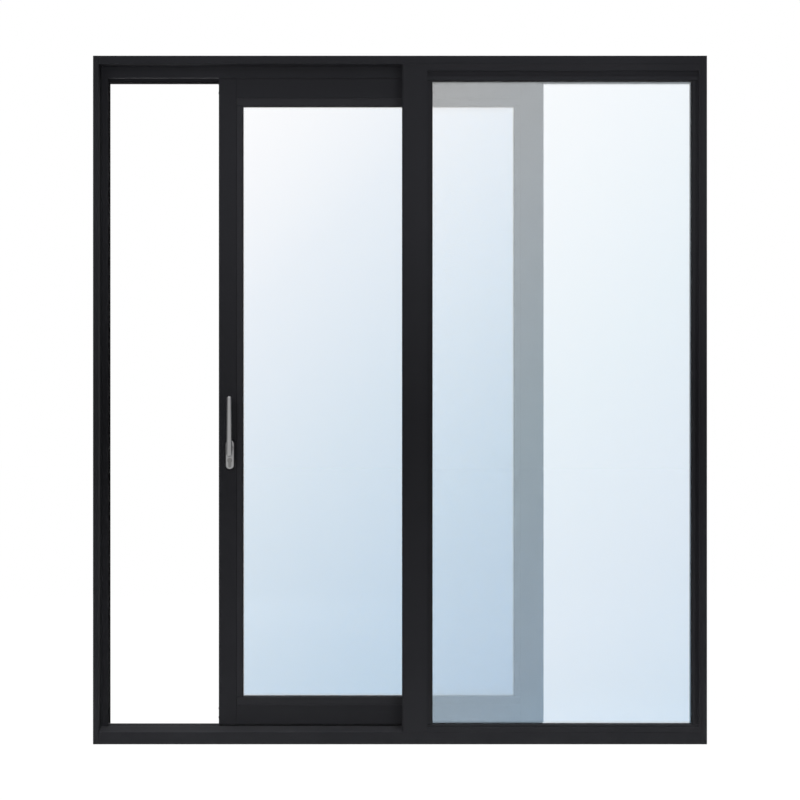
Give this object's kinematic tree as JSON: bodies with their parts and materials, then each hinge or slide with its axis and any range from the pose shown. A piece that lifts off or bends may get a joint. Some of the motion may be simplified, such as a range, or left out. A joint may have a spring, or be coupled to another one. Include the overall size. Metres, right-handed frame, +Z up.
{
  "type": "glass sliding patio door",
  "caption": "Aluminium patio door: a glazed sash slides on rollers behind a fixed light, in an outer frame; lever handles each side turn the lock.",
  "frame": {"origin": "middle of the sill's flat bottom face: middle of the width, and of the frame's depth", "axes": "+X along the door, from the lock jamb to the fixed light's jamb; +Y from the face with the fixed light to the face where the sash runs; +Z up"},
  "size_m": [2.14, 0.203, 2.4],
  "materials": {
    "frame_coating": "smooth satin graphite powder coat on aluminium extrusions",
    "mill_aluminium": "plain mill-finish aluminium",
    "glass": "clear sealed glass panes with a faint blue coating",
    "spacer": "black warm-edge spacer bar",
    "gasket": "black extruded glazing gasket",
    "brush": "black fibre pile and sealing strip",
    "track_metal": "plain stainless steel",
    "roller": "off-white hard nylon",
    "guide_plastic": "black nylon",
    "buffer": "black rubber",
    "handle": "satin nickel",
    "cylinder": "satin nickel"
  },
  "bodies": {
    "frame": {"frame_jamb_left": "frame_coating", "frame_jamb_right": "frame_coating", "frame_head": "frame_coating", "frame_sill": "frame_coating", "running_rail": "track_metal", "head_guide_rail": "mill_aluminium", "frame_brush_seals": "brush", "lock_keepers": "track_metal", "stop_buffers": "buffer", "fixed_meeting_stile": "frame_coating", "fixed_adapter_head": "frame_coating", "fixed_adapter_sill": "frame_coating", "fixed_adapter_jamb": "frame_coating", "fixed_bead_head": "frame_coating", "fixed_bead_sill": "frame_coating", "fixed_bead_jamb": "frame_coating", "fixed_bead_stile": "frame_coating", "fixed_glass_outer": "glass", "fixed_glass_inner": "glass", "fixed_glass_spacer": "spacer", "fixed_gaskets": "gasket", "fixed_interlock": "frame_coating", "meeting_seal": "brush"},
    "sash": {"sash_lock_stile": "frame_coating", "sash_meeting_stile": "frame_coating", "sash_top_rail": "frame_coating", "sash_bottom_rail": "frame_coating", "sash_beads_level": "frame_coating", "sash_beads_upright": "frame_coating", "sash_glass_outer": "glass", "sash_glass_inner": "glass", "sash_glass_spacer": "spacer", "sash_gaskets": "gasket", "sash_interlock": "frame_coating", "sash_bottom_seals": "brush", "roller_carriages": "track_metal", "rollers": "roller", "top_guide_shoes": "guide_plastic", "lock_faceplate": "track_metal", "lock_hook_bolts": "track_metal", "lock_cylinder": "cylinder", "handle_plate_front": "handle", "handle_plate_back": "handle"},
    "handle": {"handle_lever_front": "handle", "handle_lever_back": "handle"}
  },
  "joints": [
    {"name": "sash_slide", "type": "slide", "parent": "frame", "child": "sash", "axis": [1, 0, 0], "range_m": [-0.398, 0.51]},
    {"name": "handle_turn", "type": "hinge", "parent": "sash", "child": "handle", "pos_m": [-0.598, 0.039, 1.031], "axis": [0, 1, 0], "range_deg": [0, 180]}
  ]
}
